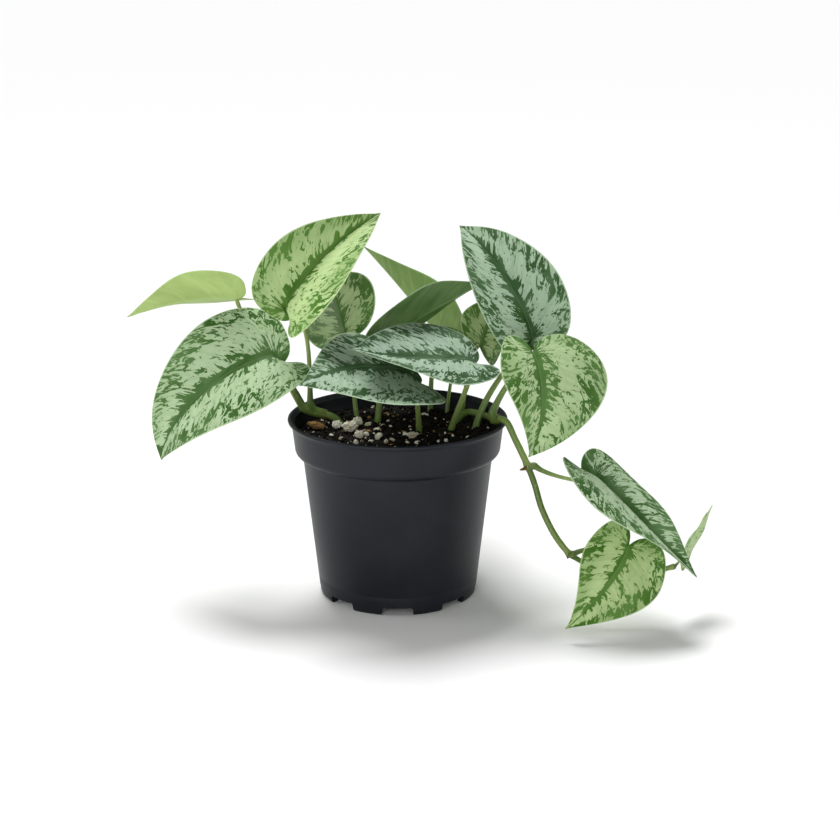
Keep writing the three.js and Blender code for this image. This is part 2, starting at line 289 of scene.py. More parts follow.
def peat_look(settings):
    look = Look("peat", Specular_IOR_Level=0.12)
    where = look.place()
    lumps = look.cloud(where, 260.0, 5.0, 0.65)
    fibre = look.cloud(where, 900.0, 3.0, 0.7, 1.5)
    base = tuple(settings.peat)
    dry = mixed(base, tone(70, 50, 34), 0.14)
    paint = look.blend(look.step(lumps, 0.3, 0.72), darker(base, 0.45), dry)
    paint = look.blend(look.step(fibre, 0.69, 0.76), paint, tone(84, 60, 40))
    return look.wear(
        Base_Color=paint,
        Roughness=lumps * 0.3 + 0.65,
        Normal=look.bump(lumps * 0.7 + fibre * 0.3, 0.8, 0.0008),
    )


def mineral_look(settings):
    look = Look("perlite", Specular_IOR_Level=0.3)
    where = look.place()
    pits = look.cloud(where, 900.0, 4.0, 0.7)
    dust = look.cloud(where, 160.0, 3.0, 0.6)
    base = tuple(settings.mineral)
    paint = look.blend(look.step(dust, 0.42, 0.72), base, tone(176, 160, 130))
    paint = look.blend(look.step(pits, 0.44, 0.3), paint, tone(128, 112, 88))
    return look.wear(
        Base_Color=paint, Roughness=pits * 0.2 + 0.75, Normal=look.bump(pits, 0.9, 0.0006),
    )


def bark_look(settings):
    look = Look("bark", Specular_IOR_Level=0.25)
    where = look.place()
    grain = look.cloud(where, 420.0, 4.0, 0.65, 2.0)
    base = tuple(settings.bark)
    paint = look.blend(look.step(grain, 0.35, 0.65), darker(base, 0.4), base)
    paint = look.blend(look.step(grain, 0.62, 0.7), paint, tone(190, 150, 104))
    return look.wear(
        Base_Color=paint, Roughness=grain * 0.2 + 0.7, Normal=look.bump(grain, 0.9, 0.0008),
    )


def stem_look(settings):
    look = Look(
        "stem", Specular_IOR_Level=0.4,
        Subsurface_Weight=0.08, Subsurface_Radius=(0.4, 0.8, 0.2), Subsurface_Scale=0.002,
    )
    where = look.place()
    along = look.attribute("along")
    streak = look.cloud(where, 700.0, 3.0, 0.6)
    patch = look.cloud(where, 60.0, 2.0, 0.5)
    green, pale = tuple(settings.green), tuple(settings.pale)
    paint = look.blend(look.step(patch, 0.35, 0.7), darker(green, 0.72), green)
    paint = look.blend(look.step(along, 0.05, 0.85) * 0.8, paint, pale)
    paint = look.blend(look.step(streak, 0.58, 0.7) * 0.45, paint, pale)
    paint = look.blend(look.step(along, 0.10, 0.0) * 0.35, paint, tuple(settings.husk))
    return look.wear(
        Base_Color=paint, Roughness=streak * 0.15 + 0.36, Normal=look.bump(streak, 0.25, 0.0004),
    )


def husk_look(settings):
    look = Look("root_nub", Specular_IOR_Level=0.3)
    grain = look.cloud(look.place(), 900.0, 3.0, 0.6)
    base = tuple(settings.husk)
    paint = look.blend(look.step(grain, 0.35, 0.7), darker(base, 0.5), base)
    return look.wear(
        Base_Color=paint, Roughness=grain * 0.2 + 0.7, Normal=look.bump(grain, 0.6, 0.0005),
    )


# How light passes into a blade.
LEAF_FLESH = dict(
    Subsurface_Weight=0.06, Subsurface_Radius=(0.3, 0.7, 0.15), Subsurface_Scale=0.0015,
)
# How far the side veins sweep forward for each millimetre out from the midrib.
VEIN_LEAN = 0.3
# Moves the pattern of a blade's right half away from its left half's.
HALVES_APART = 9.0


def blade_fields(look, seed):
    """What places a blade's pattern: row, reach, out, side, and flow across the side veins."""
    row = look.attribute("row")
    across = look.attribute("across")
    out = look.attribute("out")
    side = look.step(across, -0.004, 0.004) * HALVES_APART + seed
    return row, abs(across), out, side, look.attribute("run") - out * VEIN_LEAN


def upper_look(name, leaf, settings):
    """The upper face: silver between a ragged green midrib band and green flecks."""
    young = leaf["young"]
    # dim is painted shade: it darkens the silver and the green of a blade that lies in shade.
    silver = darker(mixed(settings.mature_silver, settings.young_silver, young), leaf["dim"])
    green = darker(mixed(settings.mature_green, settings.young_green, young), leaf["dim"])
    look = Look(name + "_face", Specular_IOR_Level=0.13, **LEAF_FLESH)
    row, reach, out, side, flow = blade_fields(look, leaf["seed"] * 3.1)
    feather = look.cloud(look.vector(flow * 0.22, out * 0.10, side), 1.0, 3.0, 0.55, 1.1)
    blotch = look.cloud(look.vector(flow * 0.14, out * 0.12, side + 20.0), 1.0, 3.0, 0.5, 1.9)
    fleck = look.cloud(look.vector(flow * 0.27, out * 0.21, side + 40.0), 1.0, 2.0, 0.5, 1.8)
    shade = look.cloud(look.vector(flow * 0.05, out * 0.05, side + 60.0), 1.0, 2.0, 0.5)
    vein = look.cloud(look.vector(flow * 0.34, out * 0.012, side + 80.0), 1.0, 1.0, 0.4)

    # the midrib band, with teeth that run out along the side veins
    taper = look.step(row, 1.02, 0.55)
    teeth = look.step(feather, 0.42, 0.66)
    edge = (teeth * leaf["teeth"] + leaf["band"]) * leaf["width"] * taper
    band = look.step(out - edge, 0.25, -0.25)
    # blotches and flecks, thicker towards the margin
    crowd = look.step(reach, 0.36, 0.82)
    spots = look.step(blotch + crowd * leaf["crowd"], 0.630, 0.645)
    specks = look.step(fleck + crowd * 0.09, 0.67, 0.685)
    mask = band.math("MAXIMUM", band, spots)
    mask = mask.math("MAXIMUM", mask, specks)
    # silver scales that show through the green
    scales = look.step(fleck, 0.385, 0.365) * look.step(out, 2.5, 5.0)
    mask = mask * (1.0 - scales * 0.9)

    deep = look.blend(look.step(shade, 0.3, 0.7), darker(green, 0.82), mixed(green, silver, 0.12))
    lime = mixed(silver, settings.young_green, 0.10 + 0.30 * young)
    bright = look.blend(crowd * look.step(shade, 0.30, 0.60), silver, lime)
    bright = look.blend(look.step(vein, 0.50, 0.60) * 0.20, bright, mixed(silver, green, 0.5))
    bright = look.blend(look.step(blotch, 0.42, 0.60) * 0.18, bright, mixed(silver, green, 0.6))
    paint = look.blend(mask, bright, deep)
    # the fine pale rib and the pale margin
    rib = look.step(out, 0.45, 0.15) * look.step(row, 0.98, 0.5)
    paint = look.blend(rib * 0.30, paint, mixed(green, silver, 0.5))
    rim = look.step(reach, 0.972, 0.986)
    paint = look.blend(rim * 0.75, paint, mixed(silver, (0.62, 0.76, 0.5), 0.35))
    grain = look.cloud(look.place(), 2600.0, 2.0, 0.5)
    return look.wear(
        Base_Color=paint,
        Roughness=0.60 - mask * 0.08 + grain * 0.06,
        Normal=look.bump(vein * 0.8 + grain * 0.06 - mask * 0.06, 0.35, 0.0012),
    )


def under_look(name, leaf, settings):
    """The underside: plain green with a pale raised midrib and faint side veins."""
    young = leaf.get("back", leaf["young"])
    base = mixed(settings.mature_back, settings.young_back, young)
    look = Look(name + "_back", Specular_IOR_Level=0.18, **LEAF_FLESH)
    row, reach, out, side, flow = blade_fields(look, leaf["seed"])
    veins = look.cloud(look.vector(flow * 0.30, out * 0.012, side), 1.0, 2.0, 0.45)
    patch = look.cloud(look.vector(flow * 0.07, out * 0.06, side + 9.0), 1.0, 3.0, 0.55)
    pale = mixed(base, (0.55, 0.72, 0.38), 0.4)
    paint = look.blend(look.step(patch, 0.3, 0.7), darker(base, 0.84), mixed(base, pale, 0.25))
    paint = look.blend(look.step(veins, 0.56, 0.66) * 0.22, paint, pale)
    band = look.step(out + row * 1.6, 2.6, 1.2)
    paint = look.blend(band * 0.55, paint, pale)
    paint = look.blend(look.step(reach, 0.965, 0.99) * 0.6, paint, pale)
    grain = look.cloud(look.place(), 2600.0, 2.0, 0.5)
    return look.wear(
        Base_Color=paint,
        Roughness=0.48 + grain * 0.08,
        Normal=look.bump(grain * 0.08 - veins * 0.8, 0.3, 0.0012),
    )


# ------------------------------------------------------------------ mesh helpers


def finished(name, bm, looks, slot, *replaced, sharp=40.0):
    """Turns a bmesh in millimetres into a piece of the plant."""
    bmesh.ops.scale(bm, vec=(MM, MM, MM), verts=bm.verts)
    mesh = bpy.data.meshes.new(name)
    bm.to_mesh(mesh)
    bm.free()
    for polygon in mesh.polygons:
        polygon.use_smooth = True
    mesh.set_sharp_from_angle(angle=math.radians(sharp))
    for look in looks:
        mesh.materials.append(look)
    piece = bpy.data.objects.new(name, mesh)
    bpy.context.scene.collection.objects.link(piece)
    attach(piece, "root")
    if replaced:
        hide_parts(*replaced)
    return piece


def outward(bm):
    """Points every face out of a closed shape."""
    bmesh.ops.recalc_face_normals(bm, faces=bm.faces)
    if bm.calc_volume(signed=True) < 0:
        bmesh.ops.reverse_faces(bm, faces=bm.faces)


# The angle over which a petiole's groove fades out.
GROOVE_SPREAD = 0.55


def sweep(bm, path, radii, sides, groove=0.0, facing=Vector((0, 0, 1)), tint=(0.0, 1.0)):
    """Extrudes a ring along a path. The groove runs down the side that looks towards facing, and
    tint is what the attribute along says at the path's two ends."""
    along_layer = bm.verts.layers.float.new("along")
    spoke_layer = bm.verts.layers.int.new("spoke")
    total = sum((b - a).length for a, b in zip(path, path[1:]))
    tangent = (path[1] - path[0]).normalized()
    normal = (facing - tangent * facing.dot(tangent)).normalized()
    made = bmesh.ops.create_circle(bm, cap_ends=True, radius=1.0, segments=sides)["verts"]
    cap = made[0].link_faces[0]
    for i, vertex in enumerate(made):
        vertex[spoke_layer] = i
    ring = list(made)
    done = 0.0
    for i, centre in enumerate(path):
        ahead = path[min(i + 1, len(path) - 1)] - path[max(i - 1, 0)]
        if ahead.length > 0:
            turned_to = ahead.normalized()
            normal = (tangent.rotation_difference(turned_to) @ normal).normalized()
            tangent = turned_to
        if i:
            done += (centre - path[i - 1]).length
            grown = bmesh.ops.extrude_face_region(bm, geom=[cap])["geom"]
            ring = [g for g in grown if isinstance(g, bmesh.types.BMVert)]
            cap = [g for g in grown if isinstance(g, bmesh.types.BMFace)][0]
        side = tangent.cross(normal)
        for vertex in ring:
            angle = vertex[spoke_layer] / sides * math.tau
            bend = math.atan2(math.sin(angle), math.cos(angle))
            reach = radii[i] * (1.0 - groove * math.exp(-((bend / GROOVE_SPREAD) ** 2)))
            vertex.co = centre + (normal * math.cos(angle) + side * math.sin(angle)) * reach
            vertex[along_layer] = tint[0] + (tint[1] - tint[0]) * done / total
    bm.verts.layers.int.remove(spoke_layer)


def bezier(points, count):
    """Points along a cubic curve, both ends included."""
    a, b, c, d = points
    return [
        a * (1 - t) ** 3 + b * 3 * t * (1 - t) ** 2 + c * 3 * t * t * (1 - t) + d * t**3
        for t in (i / count for i in range(count + 1))
    ]


def spline(stops, per_span):
    """A smooth path through its stops."""
    stops = [Vector(s) for s in stops]
    ends = [stops[0] * 2 - stops[1], *stops, stops[-1] * 2 - stops[-2]]
    path = []
    for p0, p1, p2, p3 in zip(ends, ends[1:], ends[2:], ends[3:]):
        d01, d12, d23 = ((b - a).length ** 0.5 for a, b in ((p0, p1), (p1, p2), (p2, p3)))
        m1 = (p2 - p1) + ((p1 - p0) / d01 - (p2 - p0) / (d01 + d12)) * d12
        m2 = (p2 - p1) + ((p3 - p2) / d23 - (p3 - p1) / (d12 + d23)) * d12
        path += bezier([p1, p1 + m1 / 3, p2 - m2 / 3, p2], per_span)[:-1]
    return path + [stops[-1]]


# ------------------------------------------------------------------ leaves

# What a leaf has unless its row says otherwise: band and teeth widen the green midrib band, crowd
# thickens the blotches at the margin, dim darkens a shaded blade and bow bends its midrib. join is
# where its petiole leaves a stem, clasp how thick it is there and skip the share left out.
LEAF_DEFAULTS = dict(
    band=0.075, teeth=0.28, crowd=0.165, dim=1.0, bow=0.0, join=(), clasp=0.0, skip=0.0,
)


def blade(**own):
    return {**LEAF_DEFAULTS, **own}


# Each leaf's place and bend, in millimetres and degrees, as in the frame: heading, pitch and roll
# turn it; fold lifts its halves, curl rolls its margins down, droop bends it along its midrib.
LEAVES = {
    "left_front": blade(
        at=(-62, -8, 131), turn=(117, -13, -27), length=99, width=37.5, fold=28, curl=10,
        droop=85, sweep=20, skew=0.25, lobe=0.1, root=(-52.4, 11.6, 100.8), rise=(-6, -4, 10),
        enter=(3, 9), stalk=1.5, young=0.42, seed=1.0,
        bow=11, crowd=0.145, join=((-40, 15.8, 96.2), (-47, 14.3, 98)), clasp=2.5,
    ),
    "far_left": blade(
        at=(-87, 22, 161), turn=(77, 1, 35), length=64, width=26, fold=23, curl=2,
        droop=30, sweep=-2, skew=0.1, lobe=0.08, root=(-52.6, 16.8, 101.2), rise=(-9, 3, 20),
        enter=(4, 12), stalk=1.3, young=0.95, seed=2.3,
        join=((-42, 16.2, 96.8), (-48.5, 15.6, 98.6)), clasp=2.3,
    ),
    "upper_left": blade(
        at=(-56, -2, 155), turn=(-84, 52, 42), length=79, width=33, fold=37, curl=3,
        droop=46, sweep=-20, skew=-0.05, lobe=0.08, root=(-48.5, 14.6, 103), rise=(0, 2, 20),
        enter=(-2, 12), stalk=1.5, young=0.85, seed=3.1,
        bow=-12, crowd=0.11, band=0.055, teeth=0.17,
        join=((-40, 15.9, 96.3), (-46.5, 15.2, 99)), clasp=2.7,
    ),
    "left_rear": blade(
        at=(-30, 28, 140), turn=(14, 32, -33), length=61, width=25, fold=22, curl=1,
        droop=17, sweep=-5, skew=0.12, lobe=0.16, root=(-21, 22, 78.5), rise=(-6, 13, 26),
        enter=(3, 12), stalk=1.4, young=0.8, seed=4.7,
        dim=0.5, crowd=0.2,
    ),
    "front_low": blade(
        at=(12, -22, 124), turn=(129, 10, -21), length=81, width=36, fold=0, curl=-3,
        droop=0, sweep=-3, skew=0.28, lobe=0.08, root=(12, 2, 78.5), rise=(0, -2, 22),
        enter=(3, 9), stalk=1.7, young=0.05, seed=5.2,
        bow=17, crowd=0.13,
    ),
    "front_middle": blade(
        at=(41, -8, 131), turn=(119, 3, -13), length=82, width=34, fold=15, curl=6,
        droop=-25, sweep=-5, skew=0.28, lobe=0.11, root=(26, 4, 78.5), rise=(5, -2, 24),
        enter=(3, 9), stalk=1.8, young=0.0, seed=6.9,
        bow=8, crowd=0.185,
    ),
    "upper_right": blade(
        at=(70, 8, 138), turn=(40, 54, -30), length=96, width=29, fold=38, curl=0,
        droop=42, sweep=0, skew=0.2, lobe=0.08, root=(41.5, 7.5, 78.5), rise=(0, 0, 32),
        enter=(3, 12), stalk=1.8, young=0.1, seed=7.4,
        bow=8, crowd=0.145,
    ),
    "right": blade(
        at=(72, -24, 142), turn=(-155, -41, -14), length=62, width=35, fold=19, curl=11,
        droop=85, sweep=-4, skew=-0.3, lobe=0.15, root=(49.5, -14, 98.5), rise=(1, -1, 12),
        enter=(3, 12), stalk=1.8, young=0.62, seed=8.8,
        join=((54.3, -12.8, 101.8), (51.9, -14.3, 101.9)), clasp=2.9, skip=0.16, crowd=0.13,
    ),
    "rear_tall": blade(
        at=(27, 88, 120), turn=(60, 48, 45), length=75, width=32, fold=14, curl=-4,
        droop=9, sweep=-2, skew=0, lobe=0.16, root=(18, 41, 78.5), rise=(0, 1, 36),
        enter=(3, 10), stalk=1.5, young=0.4, back=0.3, seed=9.5,
    ),
    "rear_plain": blade(
        at=(-10.5, 24.5, 134.4), turn=(-52, 24, -46), length=77, width=33, fold=14, curl=4,
        droop=11, sweep=1, skew=0, lobe=0.15, root=(-12, 15, 78.5), rise=(0, 0, 24),
        enter=(4, 10), stalk=1.8, young=0.2, back=0.0, seed=10.1,
    ),
    "rear_small": blade(
        at=(33, 54, 121.5), turn=(62, 28, -25), length=36, width=14, fold=18, curl=3,
        droop=20, sweep=0, skew=0.05, lobe=0.15, root=(27, 38, 78.5), rise=(0, 0, 24),
        enter=(3, 9), stalk=1.2, young=0.9, seed=11.6,
        dim=0.8,
    ),
    "rear_right": blade(
        at=(46, 30, 132), turn=(-12, 34, 57), length=44, width=18, fold=15, curl=7,
        droop=-19, sweep=6, skew=0, lobe=0.15, root=(35, 32, 78.5), rise=(2, -3, 24),
        enter=(3, 9), stalk=1.2, young=0.9, seed=12.2,
        dim=0.62, crowd=0.2,
    ),
    "vine_upper": blade(
        at=(100, -34, 74), turn=(-128, -37, -8), length=79, width=37, fold=36, curl=14,
        droop=-13, sweep=-3, skew=0, lobe=0.17, root=(73.4, -30.4, 80.8), rise=(6, -1, -5),
        enter=(7, 5), stalk=1.3, young=0.3, seed=13.9,
        bow=-13, dim=0.94, join=((69.9, -30, 80),), clasp=2.1,
    ),
    "vine_lower": blade(
        at=(122, -58, 46), turn=(146, -45, -58), length=56, width=26.5, fold=18, curl=11,
        droop=30, sweep=8, skew=-0.17, lobe=0.16, root=(93.8, -48, 37.5), rise=(8, 1, 4),
        enter=(3, 6), stalk=1.2, young=0.85, seed=14.4,
        join=((91.8, -45, 36),), clasp=1.9,
    ),
    "vine_tip": blade(
        at=(152, -46, 33), turn=(-34, 33, 105), length=42, width=10.5, fold=8, curl=1,
        droop=0, sweep=3, skew=0, lobe=0.06, root=(147.4, -49, 31), rise=(1, 0.3, 0.4),
        enter=(1.6, 0.9), stalk=0.8, young=0.7, seed=15.3,
        join=((146.9, -48.8, 30.6),), clasp=1.6, crowd=-1.0, band=0.0, teeth=0.0,
    ),
}


def turned(leaf):
    """The rotation that points a flat blade the way the leaf looks."""
    heading, pitch, roll = (math.radians(a) for a in leaf["turn"])
    return (
        Matrix.Rotation(heading, 3, "Z")
        @ Matrix.Rotation(pitch, 3, "X")
        @ Matrix.Rotation(roll, 3, "Y")
    )


def half_margin(width, length, lobe):
    """One half of a leaf's outline, from the sinus round the lobe to the tip, evenly spaced."""
    back = Vector((0.46 * width, -lobe * length))
    wide = Vector((width, 0.2 * length))
    spans = (
        ((0, 0), (0.05 * width, -0.07 * length), (back.x - 0.3 * width, back.y), back),
        (back, (back.x + 0.3 * width, back.y), (width, wide.y - 0.19 * length), wide),
        (wide, (width, wide.y + 0.3 * length), (0.12 * width, 0.86 * length), (0, length)),
    )
    line = []
    for span in spans:
        line += bezier([Vector(p) for p in span], 60)[1 if line else 0:]
    lengths = [0.0]
    for a, b in zip(line, line[1:]):
        lengths.append(lengths[-1] + (b - a).length)

    def at(row):
        want = row * lengths[-1]
        i = 0
        while i < len(lengths) - 2 and lengths[i + 1] < want:
            i += 1
        share = (want - lengths[i]) / (lengths[i + 1] - lengths[i])
        return line[i].lerp(line[i + 1], share)

    return at, lengths[-1]


def bowed(leaf, row):
    """How far the midrib bends sideways within the blade, in millimetres."""
    return leaf["bow"] * math.sin(math.pi * min(1.0, row) ** 1.1) ** 0.8


def leaf_point(leaf, margins, row, across, wave):
    """A point of the bent blade: across runs -1 to 1, row 0 to 1 from the sinus to the tip."""
    side = -1 if across < 0 else 1
    margin = margins[side][0](row)
    length = leaf["length"]
    width = leaf["width"] * (1 + side * leaf["skew"])
    rib = length * (0.05 * row + 0.95 * max(0.0, margin.y / length) ** 1.5)
    reach = abs(across)
    x = margin.x * reach
    y = rib + (margin.y - rib) * reach * (0.45 + 0.55 * reach)
    fold = math.radians(leaf["fold"])
    bow = bowed(leaf, row) * (1 - reach)
    lift = x * math.sin(fold) - leaf["curl"] * (x / width) ** 2
    # the midrib's trough, the margin's waves and the swellings between the side veins
    trough = 0.45 * math.exp(-((x / 1.3) ** 2)) * (1 - row) ** 0.5
    lift += 0.3 * abs(bow) * math.sin(fold) - trough
    middle = math.sin(row * math.pi)
    lift += wave * math.sin(row * 13 + side * 2 + leaf["seed"]) * reach**3 * middle
    lift += 0.10 * math.sin(row * 46 + leaf["seed"]) * reach * (1 - reach) * 4 * middle
    out = (side * x + bow) * math.cos(fold) + leaf["sweep"] * max(0.0, y / length) ** 2
    droop = math.radians(leaf["droop"])
    if abs(droop) < 0.01:
        return Vector((out, y, lift))
    radius = length / droop
    angle = y / radius
    arm = radius + lift
    return Vector((out, arm * math.sin(angle), arm * math.cos(angle) - radius))


def build_leaf(name, leaf, settings):
    """Bends a grid into a blade and thickens it. The pattern is placed by its attributes: row from
    sinus to tip, across the margins, out from the midrib and run along the margin."""
    bm = bmesh.new()
    bmesh.ops.create_grid(bm, x_segments=settings.columns, y_segments=settings.rows, size=1.0)
    row_layer = bm.verts.layers.float.new("row")
    across_layer = bm.verts.layers.float.new("across")
    out_layer = bm.verts.layers.float.new("out")
    run_layer = bm.verts.layers.float.new("run")
    lift_layer = bm.verts.layers.float_vector.new("lift")
    turn = turned(leaf)
    margins = {
        side: half_margin(leaf["width"] * (1 + side * leaf["skew"]), leaf["length"], leaf["lobe"])
        for side in (-1, 1)
    }
    for vertex in bm.verts:
        even = (vertex.co.y + 1) / 2
        row = 0.6 * even + 0.4 * (0.5 - 0.5 * math.cos(even * math.pi))
        vertex[row_layer] = row
        vertex[across_layer] = vertex.co.x
        side = 1 if vertex.co.x > 0 else -1
        half, around = margins[side]
        vertex[out_layer] = max(0.0, half(row).x - side * bowed(leaf, row)) * abs(vertex.co.x)
        vertex[run_layer] = row * around
        local = leaf_point(leaf, margins, row, vertex.co.x, settings.wave / MM)
        vertex.co = turn @ local + Vector(leaf["at"])
    bmesh.ops.remove_doubles(bm, verts=bm.verts, dist=0.002)
    bm.normal_update()
    if sum(f.normal.dot(turn.col[2]) for f in bm.faces) < 0:
        bmesh.ops.reverse_faces(bm, faces=bm.faces)
        bm.normal_update()
    for vertex in bm.verts:
        vertex[lift_layer] = vertex.normal
    upper = list(bm.faces)
    grown = bmesh.ops.extrude_face_region(bm, geom=upper, use_keep_orig=True)["geom"]
    lower = {g for g in grown if isinstance(g, bmesh.types.BMFace)}
    full = settings.thickness / MM
    for vertex in (g for g in grown if isinstance(g, bmesh.types.BMVert)):
        reach, row = abs(vertex[across_layer]), vertex[row_layer]
        ridge = 0.8 * math.exp(-((reach * leaf["width"] / 1.2) ** 2)) * (1 - row) ** 0.7
        thin = full * (1.0 - 0.55 * reach**6)
        vertex.co -= vertex[lift_layer] * (thin + ridge)
    for face in bm.faces:
        face.material_index = 1 if face in lower else 0
    outward(bm)
    bm.verts.layers.float_vector.remove(lift_layer)
    node = "leaf_" + name
    looks = [upper_look(node, leaf, settings), under_look(node, leaf, settings)]
    return finished(node + "_blade", bm, looks, "leaf", node, sharp=60.0)


# Where a petiole ends: this far along the midrib from the sinus, and this far under the face.
SEAT_IN, SEAT_UNDER = 1.4, 0.55


def petiole_path(leaf, count=40):
    turn = turned(leaf)
    droop = math.radians(leaf["droop"])
    sag = -SEAT_IN**2 * droop / leaf["length"] / 2
    seat = turn @ Vector((0, SEAT_IN, sag - SEAT_UNDER)) + Vector(leaf["at"])
    into = turn @ Vector((0, *leaf["enter"]))
    root = Vector(leaf["root"])
    path = bezier([root, root + Vector(leaf["rise"]), seat - into, seat], count)
    path = [path[0], *path[1:-2:3], path[-1]]
    kept = [p for i, p in enumerate(path) if i / len(path) >= leaf["skip"]]
    return spline([*leaf["join"], *kept], 3)


def build_petiole(name, leaf, settings, look):
    """A grooved stalk, with a sheath at its foot and a joint under the blade."""
    path = petiole_path(leaf)
    radii = []
    swell = settings.swelling
    for i in range(len(path)):
        t = i / (len(path) - 1)
        sheath = swell * max(0.0, 1 - t / 0.55) ** 1.1
        joint = 0.14 * math.exp(-(((t - 0.93) / 0.05) ** 2))
        radius = leaf["stalk"] * (0.80 + sheath + joint)
        near = max(0.0, 1 - t / 0.3) ** 1.5
        radius += max(0.0, leaf["clasp"] - radius) * near
        radii.append(radius * (1 - 0.35 * max(0.0, (t - 0.96) / 0.04)))
    bm = bmesh.new()
    towards = turned(leaf) @ Vector((0, 0.6, 0.8))
    sweep(bm, path, radii, settings.sides, groove=0.2, facing=towards)
    outward(bm)
    node = "petiole_" + name
    return finished(node + "_stalk", bm, [look], "stem", node, sharp=50.0)


# ------------------------------------------------------------------ stems

STEMS = {
    "stem_left": (2.1, [
        (-26.5, 17, 78.5), (-30.5, 16.8, 88.5), (-35, 16.5, 94), (-42, 15.5, 97),
        (-49.5, 14.5, 98.6),
    ]),
    "vine_runner": (1.9, [
        (30, 17.5, 78.5), (32.8, 18.7, 91), (38, 21, 96), (49, 12, 96.4), (52.3, -5, 99),
        (54.6, -14, 102.4), (58.6, -18, 101.6), (63.1, -22, 93.2), (67.5, -27, 85),
        (69.6, -29.6, 80.6),
    ]),
    "vine_middle": (1.8, [
        (69.9, -30, 80), (73, -32, 72.2), (77.3, -36, 58.4), (84.7, -41, 44.4), (91.8, -45, 35.9),
    ]),
    "vine_end": (1.5, [
        (91.8, -45, 35.9), (104, -45, 29.5), (124, -45, 27), (138, -47.5, 27.8), (147, -48.8, 30.6),
    ]),
}
NUBS = {
    "root_nub_upper": ((69.2, -30.2, 79.6), (65.4, -31.2, 78.7)),
    "root_nub_lower": ((91.8, -44.2, 35.2), (91.0, -40.2, 32.2)),
}


NUB_RADIUS = 1.1


def build_nub(name, foot, end, look, steps=8):
    """A tapering stub of an aerial root."""
    path = [Vector(foot).lerp(Vector(end), i / steps) for i in range(steps + 1)]
    radii = [NUB_RADIUS * (1 - 0.75 * (i / steps) ** 2) for i in range(steps + 1)]
    bm = bmesh.new()
    sweep(bm, path, radii, 12)
    outward(bm)
    return finished(name + "_spur", bm, [look], "nub", name, sharp=60.0)


def build_stem(name, radius, stops, settings, look):
    """A length of stem, thicker at the node at each end."""
    path = spline(stops, 9)
    count = len(path) - 1
    radii = []
    for i in range(len(path)):
        t = i / count
        end = 0.16 * math.exp(-((t / 0.035) ** 2)) + 0.24 * math.exp(-(((1 - t) / 0.035) ** 2))
        radii.append(radius * (0.93 + end))
    bm = bmesh.new()
    sweep(bm, path, radii, settings.sides, groove=0.06, tint=(0.14, 0.5))
    for vertex in bm.verts:
        sway = noise.noise(vertex.co * 0.25)
        vertex.co += vertex.normal * sway * 0.08
    outward(bm)
    return finished(name + "_tube", bm, [look], "stem", name, sharp=50.0)


# ------------------------------------------------------------------ pot and soil


# The pot's moulded details, in millimetres.
PAD_RADIUS = 9.0
TOE_HEIGHT = 2.4
SEAM_HEIGHT, SEAM_DEPTH = 10.35, 0.12
NOTCH_LENGTH, NOTCH_ROUND = 12, 1.2
HOLE_RING, HOLE_RADIUS = 31, 3.5
TURN_STEPS = 192


def pot_profile(s):
    """The outline from the middle of the underside, up the outside, over the lip and down."""
    rim, high, wall, base = s["rim_radius"], s["height"], s["wall"], s["base_radius"]
    collar, low_r, low_z = s["collar_radius"], s["collar_low_radius"], s["collar_low"]
    body, top, under = s["body_radius"], s["body_top"], s["floor_under"]
    # centre pad, floor and foot ring
    profile = [(0, 0), (PAD_RADIUS - 0.4, 0), (PAD_RADIUS, 0.3), (PAD_RADIUS + 1, under)]
    profile += [(base - 5, under), (base - 4.4, 0.5), (base - 3.8, 0.02)]
    profile += [(base - 2, 0), (base - 1.1, 0.25), (base - 0.4, 1.0), (base, TOE_HEIGHT)]
    # the wall, with its fine seam
    for z in (10.0, SEAM_HEIGHT, 10.7, 40.0):
        share = (z - TOE_HEIGHT) / (top - TOE_HEIGHT)
        profile.append((base + (body - base) * share - (SEAM_DEPTH if z == SEAM_HEIGHT else 0), z))
    # the step out to the collar
    profile += [(body - 0.12, top - 1.2), (body + 0.1, top - 0.2), (body + 0.9, top + 0.5)]
    profile += [(low_r - 1.3, top + 1.5), (low_r - 0.5, low_z - 1.5)]
    profile += [(low_r - 0.08, low_z - 0.4), (low_r, low_z + 0.6)]
    # the collar and the rolled lip
    profile += [(collar - 0.1, high - 4.6), (collar + 0.1, high - 3.2), (collar + 0.5, high - 2.6)]
    profile += [(rim - 0.7, high - 2.2), (rim - 0.15, high - 1.7), (rim, high - 1.1)]
    profile += [(rim - 0.15, high - 0.5), (rim - 0.6, high - 0.1), (rim - 1.1, high)]
    profile += [(rim - 1.6, high - 0.2), (rim - 2.1, high - 0.9)]
    # the inside
    profile += [(collar - wall, high - 2.4), (collar - wall - 0.2, high - 5)]
    profile += [(low_r - wall, low_z + 1), (body - wall, top)]
    return profile + [(base - wall, under + wall), (0, under + wall)]


